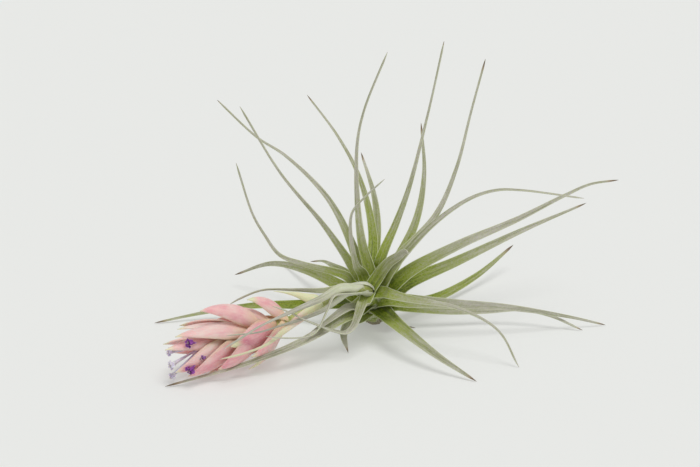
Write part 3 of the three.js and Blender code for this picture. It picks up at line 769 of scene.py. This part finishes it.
def petal_material():
    """Violet petals that fade to pale lilac, with cream stamens."""
    s = Shader("petal_skin")
    veins = s.noise(3.0, 0.3, detail=2.0)
    fresh = s.mix(s.ramp(veins, 0.3, 0.7), *FRESH_VIOLETS)
    faded = s.mix(s.ramp(veins, 0.3, 0.7), *FADED_LILACS)
    colour = s.mix(s.value("pale"), fresh, faded)
    colour = s.mix(s.ramp(s.value("along"), 0.25, 0.0, 0.0, 0.6), colour, TUBE_LILAC)
    colour = s.mix(s.value("pollen"), colour, POLLEN_CREAM)
    return s.finish(
        Base_Color=colour, Roughness=0.45, Normal=s.bump(veins, 0.06), Specular_IOR_Level=0.35,
        Subsurface_Weight=0.3, Subsurface_Radius=(0.6, 0.4, 1.0), Subsurface_Scale=0.0012)


def stem_material():
    """Dry tan fibres at the root end, under silver-green scales where the leaf bases hold it."""
    s = Shader("stem_skin")
    fibres = s.noise(2.6, 0.25, detail=5.0)
    patches = s.noise(0.5, 0.4)
    bark = s.mix(s.ramp(fibres, 0.35, 0.7), *ROOT_TANS)
    fresh = s.mix(s.ramp(fibres, 0.3, 0.7), *STEM_GREENS)
    colour = s.mix(s.ramp(s.add(s.value("rise"), s.scaled(patches, 6.0)), 6.0, 14.0), bark, fresh)
    return s.finish(
        Base_Color=colour, Roughness=0.85, Normal=s.bump(fibres, 0.3), Specular_IOR_Level=0.2)


# -------------------------------- stem and leaves

root_end = np.array(ROOT_END, float)
stem_axis = unit(np.array(HEART, float) - root_end)
stem_right = unit(np.array([1.0, 0, 0]) - stem_axis * stem_axis[0])
stem_top = np.cross(stem_axis, stem_right)


def stem_point(rise):
    return root_end + stem_axis * rise


def stem_out(turn):
    return stem_right * math.cos(math.radians(turn)) + stem_top * math.sin(math.radians(turn))


def stem_radius(rise):
    return np.interp(rise, *zip(*STEM_PROFILE))


def make_stem():
    slants = np.random.default_rng(5).random(3) * 6
    route = Route([stem_point(0.02), stem_point(STEM_PROFILE[-1][0])])
    coarse, coarse_height = STEM_SKIN.coarse_ribs
    fine, fine_height = STEM_SKIN.fine_ribs

    def radius(run, angle):
        slant = STEM_SKIN.ring_slant * np.sin(angle + slants[0])
        rings = STEM_SKIN.ring_depth * np.abs(np.sin(run * STEM_SKIN.ring_pace + slant))
        ribs = coarse_height * np.sin(coarse * angle + slants[1])
        ribs = ribs + fine_height * np.sin(fine * angle + slants[2] + run)
        return np.maximum(STEM_SKIN.thinnest, stem_radius(run) - STEM_SKIN.inside + rings + ribs)

    skin = Skin()
    add_tube(skin, route, radius, sides=48, step=0.5, values={"rise": lambda run: run})
    skin.piece("fine_stem", materials["stem"], "stem", "stem")


def leaf_route(turn, rise, points):
    """The leaf's line from below its root on the stem to the tip, the length before the root, and the
    way out of the stem."""
    out = stem_out(turn)
    root = stem_point(rise) + out * (stem_radius(rise) - LEAF.sunk)
    lean = math.radians(LEAF.lean)
    sheath_end = root + LEAF.sheath * (stem_axis * math.cos(lean) + out * math.sin(lean))
    low = max(CLASP.lowest, rise - CLASP.below)
    below = stem_point(low) + out * (stem_radius(low) - CLASP.sunk)
    route = spline([below, root, sheath_end, *points])
    return route, route.length_to(root), out


def make_leaf(number, name, turn, rise, width, taper, points, green, dry, twist, roll=0, silvering_and_shade=0.14,
              blunt=False, slot="leaf"):
    route, before, out = leaf_route(turn, rise, points)
    length = route.length - before
    held = stem_radius(rise) + CLASP.clear
    tip_length = LEAF.blunt_length if blunt else LEAF.tip_length

    def share(run):
        return np.clip((run - before) / length, 0, 1)

    def clasp(run):
        return np.exp(-np.maximum(run - before, 0) / CLASP.fades)

    def tip(run):
        return rounded_tip(route.length - run, tip_length)

    def breadth(run):
        blade = lerp(LEAF.tip_width, width, (1 - share(run)) ** taper)
        return blade * lerp(1, CLASP.wider, clasp(run)) * tip(run)

    def thickness(run):
        full = lerp(LEAF.base_thickness, LEAF.tip_thickness, share(run) ** 0.5)
        return full * np.where(run < before, CLASP.thinner, 1) * tip(run)

    def bend(run):
        wrap = np.degrees(breadth(run) / held)
        return lerp(LEAF.bend, np.minimum(wrap, CLASP.most), clasp(run) ** 2)

    def seat(run):
        return (1 - clasp(run) ** 2) * middle_depth(bend(run))

    def dead(run):
        return np.clip(1.15 - (route.length - run) / dry, 0, 1) if dry else 0 * run

    skin = Skin()
    # The base offset starts each leaf's age, and its low values paint shade into the base green.
    add_blade(skin, route, -out, breadth, thickness, bend, 100 + number * 3, step=1.2, twist=twist,
              roll=roll, wave=LEAF.wave, seat=seat,
              values={"age": lambda run: silvering_and_shade + share(run) / (2 * green), "dry": dead})
    skin.piece("fine_" + name, materials["leaf"], slot, name)


# -------------------------------- flower stalk and its blades

stalk_route = spline(STALK.points)


def make_stalk():
    def ribbed(run, angle):
        ribs = STALK.rib_share * np.sin(STALK.ribs * angle)
        return STALK.radius * (1 + ribs - STALK.slims * run)

    skin = Skin()
    add_tube(skin, stalk_route, ribbed, sides=28, step=0.8)
    skin.piece("fine_flower_stalk", materials["stalk"], "stalk", "flower_stalk")


def make_stalk_sheath():
    """The silver leaf base that wraps the stalk's foot where it leaves the heart, and opens above."""
    in_stem = [stem_point(rise) for rise in STALK_SHEATH.stem_rises]
    route = spline([*in_stem, *stalk_route.at(STALK_SHEATH.stalk_shares)])

    def share(run):
        return run / route.length

    def bend(run):
        closed = np.clip((1.05 - share(run)) / 0.6, 0.1, 1)
        return STALK_SHEATH.wrap * closed ** 0.5

    def girth(run):
        radius = np.interp(share(run), STALK_SHEATH.shares, STALK_SHEATH.radii)
        return radius * np.radians(bend(run))

    skin = Skin()
    add_blade(skin, route, stem_out(STALK_SHEATH.open_to), girth, steady(STALK_SHEATH.thickness),
              bend, 350, step=0.6, seat=steady(1), values={
                  # The foot, down in the heart, takes the deepest base green, partly as painted shade.
                  "age": lambda run: smooth_step(0.2, 0.55, share(run)),
                  "lime": lambda run: 0.4 * smooth_step(0.5, 0.9, share(run)),
                  "silver": lambda run: 0.85 * smooth_step(0.2, 0.45, share(run)),
              })
    skin.piece("fine_stalk_sheath", materials["leaf"], "silver_leaf", "flower_stalk")


def stalk_blade_route(along, points):
    """A blade's line from its sheath on the stalk, the length before its root, and the way out."""
    root = stalk_route.at([along])[0]
    way = stalk_route.tangents([along])[0]
    out = points[0] - root
    out = unit(out - way * (out @ way))
    off = out * (STALK.radius + STALK_LEAF.off)
    back = along - STALK_LEAF.sheath / stalk_route.length
    low = max(0, back)
    below = [p + off for p in stalk_route.at([low, low / 2 + along / 2])]
    if back < 0:
        below.insert(0, stem_point(STEM_PROFILE[-1][0] - STALK_LEAF.in_stem) + out * STALK.radius)
    route = spline([*below, root + off, *points])
    return route, route.length_to(root + off), out


def add_stalk_blade(skin, along, points, width, thickness, seed, twist, roll, values):
    """A blade that starts as a sheath round the stalk. width, thickness and values are functions of
    its share of length, and for values that is below 0 along the sheath."""
    route, before, out = stalk_blade_route(along, points)
    length = route.length - before

    def share(run):
        return np.clip((run - before) / length, 0, 1)

    def sheath(run):
        return np.exp(-np.maximum(run - before, 0) / STALK_LEAF.fades)

    def tip(run):
        return rounded_tip(route.length - run, STALK_LEAF.tip_length)

    def bend(run):
        return lerp(STALK_LEAF.bend, STALK_LEAF.wrap, sheath(run))

    def breadth(run):
        blade = np.maximum(LEAF.tip_width, width(share(run))) * tip(run)
        round_stalk = np.radians(bend(run)) * (STALK.radius + STALK_LEAF.clear)
        widening = lerp(STALK_LEAF.narrowest, 1, smooth_step(0, before, run))
        return lerp(blade, round_stalk * widening, sheath(run))

    def seat(run):
        return (1 - sheath(run)) * middle_depth(bend(run))

    def past_root(value):
        return lambda run: value((run - before) / length)

    add_blade(skin, route, -out, breadth, lambda run: thickness(share(run)) * tip(run), bend, seed,
              step=0.8, twist=twist, roll=roll, wave=STALK_LEAF.wave, seat=seat,
              values={name: past_root(value) for name, value in values.items()})


def make_stalk_leaf(number, name, along, width, points, lime, twist, taper=STALK_LEAF.taper):
    def thickness(share):
        return lerp(STALK_LEAF.base_thickness, LEAF.tip_thickness, share)

    def narrowing(share):
        return width * (1 - share) ** taper

    skin = Skin()
    add_stalk_blade(skin, along, points, narrowing, thickness, 300 + number * 3, twist, 0, values={
        "age": lambda share: 0.8 + 0.4 * np.maximum(share, 0),
        "lime": lambda share: lime * smooth_step(0.4, 0.0, share) * smooth_step(-0.12, 0.04, share),
        "silver": lambda share: 0.75 * smooth_step(0.35, 0.0, share),
    })
    skin.piece("fine_" + name, materials["leaf"], "silver_leaf", name)


def make_lower_bract(number, name, along, width, points, twist, roll, blush, lime, silver, slot):
    def narrowing(share):
        return width * (1 - share) ** STALK_LEAF.taper

    def limed(share):
        return 1 - smooth_step(0.05, 0.2, share) * smooth_step(lime + 0.15, lime - 0.15, share)

    skin = Skin()
    add_stalk_blade(skin, along, points, narrowing, steady(LOWER_BRACT_THICKNESS), 400 + number * 3,
                    twist, roll, values={
                        "along": lambda share: 0.5 + 0.5 * np.maximum(share, 0),
                        "blush": steady(blush),
                        "lime": limed,
                        "silver": lambda share: silver * smooth_step(lime, lime + 0.2, share),
                    })
    skin.piece("fine_" + name, materials["bract"], slot, name)


# -------------------------------- flower head

head_start = np.array(HEAD.start, float)
head_axis = unit(np.array(HEAD.end, float) - head_start)
head_top = unit(np.array([0, 0, 1.0]) - head_axis * head_axis[2])
head_front = np.cross(head_top, head_axis)


def head_point(along, turn, reach):
    angle = math.radians(turn)
    out = head_top * math.cos(angle) + head_front * math.sin(angle)
    return head_start + head_axis * along + reach * out


def make_head_core():
    route = Route([head_point(CORE.start, 0, 0), head_point(CORE.end, 0, 0)])

    def radius(run, angle):
        slimmer = 1 - CORE.slims * run / route.length
        ribs = CORE.rib_share * np.sin(CORE.ribs * angle + run * CORE.rib_pace)
        return CORE.radius * slimmer * (1 + ribs)

    skin = Skin()
    add_tube(skin, route, radius, sides=24)
    skin.piece("fine_head_core", materials["stalk"], "stalk", "bract_head")


def bract_shape(share):
    """A bract's width from its root to its tip, as a share of the widest."""
    opening = np.sin(np.minimum(share / BRACT.widest_at, 1) * np.pi / 2)
    closing = np.maximum(0, (share - BRACT.widest_at) / (1 - BRACT.widest_at)) ** 1.5
    return lerp(BRACT.root_share, 1, opening) * (1 - closing)


def make_bract(number, start, end, turn, reach, width, blush, pale, roll=0):
    route = arc(
        head_point(start, turn, BRACT.root_reach),
        head_point(lerp(start, end, BRACT.bulge_at), turn, reach * BRACT.bulge),
        head_point(end, turn, reach),
    )
    inward = head_point(start, turn, 0) - head_point(start, turn, 1)
    pale_from = 0.9 - 0.7 * pale

    def share(run):
        return run / route.length

    def breadth(run):
        return np.maximum(BRACT.tip_width, width * BRACT.fuller * bract_shape(share(run)))

    def thickness(run):
        left = route.length - run
        return BRACT.thickness * rounded_tip(left, BRACT.tip_length, BRACT.tip_least)

    def bend(run):
        return lerp(BRACT.bend, BRACT.tip_bend, smooth_step(0.5, 1, share(run)))

    skin = Skin()
    add_blade(skin, route, inward, breadth, thickness, bend, 500 + number * 3, step=0.8,
              twist=BRACT.twist, roll=roll, values={
                  "along": share,
                  "blush": steady(blush),
                  "lime": lambda run: smooth_step(pale_from, pale_from + 0.15, share(run)),
              })
    skin.piece(f"fine_bract_{number:02d}", materials["bract"], "bract", "bract_head")


def add_petal(skin, mouth, way, out, size, curl, ruffle, seed, faded):
    """A petal that leaves the tube's mouth, bends over outwards and curls back at its end."""
    long = FLOWER.petal_length * size

    def past_mouth(forward, outward):
        return mouth + way * forward + out * outward

    route = spline([
        past_mouth(-1.2, 0.4),
        past_mouth(0.3 * long, 0.7),
        past_mouth(0.66 * long, 0.28 * long),
        past_mouth(0.68 * long, 0.52 * long),
        past_mouth(0.4 * long * curl, 0.7 * long),
        past_mouth(0.15 * long, 0.55 * long * curl),
    ])

    def share(run):
        return run / route.length

    def breadth(run):
        rounded = 0.3 + 0.7 * np.sin(np.pi * (0.1 + 0.82 * share(run)))
        return size * FLOWER.petal_width * rounded ** 0.8

    def crumple(run):
        return 100 + 45 * np.sin(run * 2.6 + ruffle)

    add_blade(skin, route, -out, breadth, steady(FLOWER.petal_thickness), crumple, seed, step=0.25,
              wave=FLOWER.petal_wave, values={**faded, "along": lambda run: 0.5 + 0.5 * share(run)})


def add_stamen(skin, mouth, way, out, length, faded):
    """A thread with a knob of pollen at its end."""
    route = spline([mouth, mouth + way * 1.1 + out * 0.25, mouth + way * length + out * 0.5])
    knob_start = route.length - FLOWER.knob_length

    def knob(run):
        return smooth_step(knob_start, knob_start + 0.3, run)

    def radius(run, angle):
        return FLOWER.stamen_radius * (1 + knob(run))

    add_tube(skin, route, radius, sides=8, step=0.25,
             values={**faded, "along": steady(1), "pollen": lambda run: 0.4 * knob(run)})


def make_flower(number, name, along, turn, reach, pale, size, shown):
    mouth = head_point(along, turn, reach)
    way = unit(mouth - head_point(along - FLOWER.length, turn, reach * FLOWER.base_share))
    right = unit(np.cross(way, head_top))
    top = np.cross(right, way)
    faded = {"pale": steady(pale)}

    def spokes(count, offset):
        angles = [2 * math.pi * (i + offset) / count for i in range(count)]
        return [right * math.cos(angle) + top * math.sin(angle) for angle in angles]

    tube = Route([mouth - way * shown, mouth])

    def funnel(run, angle):
        return FLOWER.tube_radius * size ** 0.5 * (0.5 + 0.5 * (run / tube.length) ** 2)

    skin = Skin()
    add_tube(skin, tube, funnel, sides=14, step=0.5,
             values={**faded, "along": lambda run: 0.6 * run / tube.length})
    for i, out in enumerate(spokes(FLOWER.petals, 0.25 + 0.07 * number)):
        curl = 1 + 0.25 * math.sin(5 * i + number)
        add_petal(skin, mouth, way, out, size, curl, 2 * i + number, 700 + number * 10 + i, faded)
    for i, out in enumerate(spokes(FLOWER.stamens, 0.5)):
        add_stamen(skin, mouth, way, out, 1.9 + 0.2 * i % 0.5, faded)
    skin.piece("fine_" + name, materials["petal"], "flower", name)


# -------------------------------- studio

STUDIO = Sizes(
    room=0.5,
    room_colour=(1.0, 1.0, 0.99, 1),
    lamp=1.35,
    lamp_from=(0.2, -0.25, 1),
    softness=30,
    floor=srgb(201, 202, 200),
    floor_glow=0.47,
    floor_size=16000,
)


def make_camera():
    slope = math.radians(CAMERA.elevation)
    look = Vector((0, math.cos(slope), -math.sin(slope)))
    data = bpy.data.cameras.new("camera")
    data.sensor_width = CAMERA.sensor
    data.lens = CAMERA.sensor * CAMERA.distance / CAMERA.frame_width
    data.clip_start = CAMERA.nearest * MM
    data.clip_end = CAMERA.farthest * MM
    made = add_object("camera", data)
    made.location = Vector(CAMERA.target) * MM - look * CAMERA.distance * MM
    made.rotation_euler = look.to_track_quat("-Z", "Y").to_euler()
    bpy.context.scene.camera = made


def make_floor():
    half = STUDIO.floor_size / 2 * MM
    mesh = bpy.data.meshes.new("floor")
    mesh.from_pydata(
        [(-half, -half, 0), (half, -half, 0), (half, half, 0), (-half, half, 0)], [], [(0, 1, 2, 3)])
    s = Shader("floor_paper")
    mesh.materials.append(s.finish(
        Base_Color=STUDIO.floor, Roughness=0.8, Specular_IOR_Level=0.1,
        Emission_Color=STUDIO.floor, Emission_Strength=STUDIO.floor_glow))
    floor = add_object("floor", mesh)


def make_lights():
    world = bpy.data.worlds.new("soft_room")
    world.use_nodes = True
    background = world.node_tree.nodes["Background"]
    background.inputs["Color"].default_value = STUDIO.room_colour
    background.inputs["Strength"].default_value = STUDIO.room
    bpy.context.scene.world = world

    light = bpy.data.lights.new("soft_box", "SUN")
    light.energy = STUDIO.lamp
    light.angle = math.radians(STUDIO.softness)
    lamp = add_object("soft_box", light)
    lamp.rotation_euler = (-Vector(STUDIO.lamp_from)).to_track_quat("-Z", "Y").to_euler()
    bpy.context.scene.view_settings.view_transform = "Standard"


# -------------------------------- the plant

make_camera()
make_floor()
make_lights()

materials = {
    "leaf": leaf_material(),
    "stalk": stalk_material(),
    "bract": bract_material(),
    "petal": petal_material(),
    "stem": stem_material(),
}

make_stem()
make_stalk()
make_stalk_sheath()
for number, (name, leaf) in enumerate(LEAVES.items()):
    make_leaf(number, name, **leaf)
for number, (name, leaf) in enumerate(STALK_LEAVES.items()):
    make_stalk_leaf(number, name, **leaf)
for number, (name, bract) in enumerate(LOWER_BRACTS.items(), start=1):
    make_lower_bract(number, name, **bract)
make_head_core()
for number, bract in enumerate(BRACTS, start=1):
    make_bract(number, *bract)
for number, flower in enumerate(FLOWERS):
    make_flower(number, *flower)
